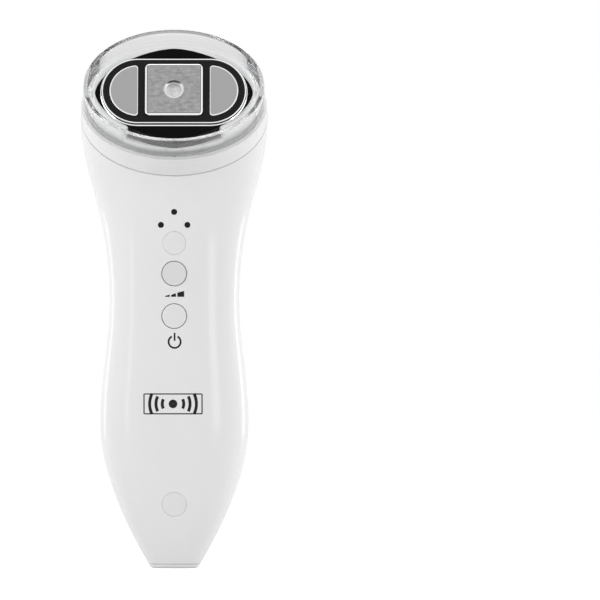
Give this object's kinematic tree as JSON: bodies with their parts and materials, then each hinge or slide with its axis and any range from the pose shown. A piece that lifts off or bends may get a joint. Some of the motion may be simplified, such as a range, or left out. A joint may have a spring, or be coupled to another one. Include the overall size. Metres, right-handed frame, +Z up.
{
  "type": "handheld skin care device",
  "caption": "Handheld skin care device: slim waisted handle with push buttons and a forward-tilted oval head, where a clear ring surrounds a square plate and half-round electrodes.",
  "frame": {"origin": "centre of the round charging-socket mouth in the flat end face of the handle", "axes": "+Z runs up the handle from the charging end to the head, the front with the buttons faces -Y and +X is to the right of someone who looks at the front"},
  "size_m": [0.065, 0.0647, 0.1871],
  "materials": {
    "white_shell": "gloss",
    "white_button": "gloss",
    "light_window": "gloss, slightly translucent",
    "clear_ring": "clear moulded acrylic",
    "diffuser_white": "frosted",
    "head_black": "gloss",
    "carrier_black": "satin",
    "bright_trim": "polished",
    "mottled_steel": "mottled satin",
    "electrode_steel": "satin",
    "dark_lens": "gloss, dark tinted",
    "ceramic": "matt",
    "inner_plastic": "matt",
    "dark_plastic": "matt",
    "plunger_orange": "matt",
    "connector_white": "matt",
    "board_green": "semi-gloss resist",
    "lamp": "clear resin",
    "screw_steel": "zinc plated",
    "motor_steel": "satin",
    "coil_copper": "enamelled wire",
    "transformer_yellow": "taped winding",
    "capacitor_blue": "sleeved",
    "cell_blue": "shrink sleeve",
    "lead_red": "satin insulation",
    "lead_yellow": "satin insulation",
    "lead_black": "satin insulation",
    "lead_blue": "satin insulation"
  },
  "bodies": {
    "handle": {"front_shell": "white_shell", "rear_shell": "white_shell", "end_cap": "white_shell", "head_collar": "white_shell", "light_ring": "clear_ring", "light_diffuser": "diffuser_white", "head_floor": "head_black", "electrode_carrier": "carrier_black", "carrier_trim": "bright_trim", "ultrasonic_plate": "mottled_steel", "left_electrode": "electrode_steel", "right_electrode": "electrode_steel", "piezo_disc": "ceramic", "head_chassis": "inner_plastic", "head_screws": "screw_steel", "light_board": "board_green", "ring_lights": "lamp", "motor_bracket": "dark_plastic", "vibration_motor": "motor_steel", "main_board": "board_green", "board_screws": "screw_steel", "control_chip": "dark_plastic", "power_transformer": "transformer_yellow", "choke_coil": "coil_copper", "storage_capacitor": "capacitor_blue", "level_switch": "dark_plastic", "power_switch": "dark_plastic", "level_lenses": "dark_lens", "level_lights": "lamp", "mode_window": "light_window", "mode_light": "lamp", "charge_window": "light_window", "charge_light": "lamp", "battery_cell": "cell_blue", "battery_holder": "dark_plastic", "battery_connector": "connector_white", "battery_leads": "lead_red", "charging_jack": "dark_plastic", "jack_pin": "motor_steel", "charging_board": "board_green", "charging_leads": "lead_yellow", "sounder": "dark_plastic", "electrode_leads": "lead_black", "motor_leads": "lead_blue"},
    "level_button": {"level_button": "white_button", "level_switch_plunger": "plunger_orange"},
    "power_button": {"power_button": "white_button", "power_switch_plunger": "plunger_orange"},
    "motor_rotor": {"motor_shaft": "motor_steel", "eccentric_weight": "motor_steel"}
  },
  "joints": [
    {"name": "level_press", "type": "slide", "parent": "handle", "child": "level_button", "axis": [0, 1, 0], "range_m": [0, 0.0003], "stiffness_N_per_m": 3000},
    {"name": "power_press", "type": "slide", "parent": "handle", "child": "power_button", "axis": [0, 1, 0], "range_m": [0, 0.0003], "stiffness_N_per_m": 3000},
    {"name": "rotor_spin", "type": "hinge", "parent": "handle", "child": "motor_rotor", "pos_m": [0, -0.00779, 0.16189], "axis": [1, 0, 0], "continuous": true}
  ]
}
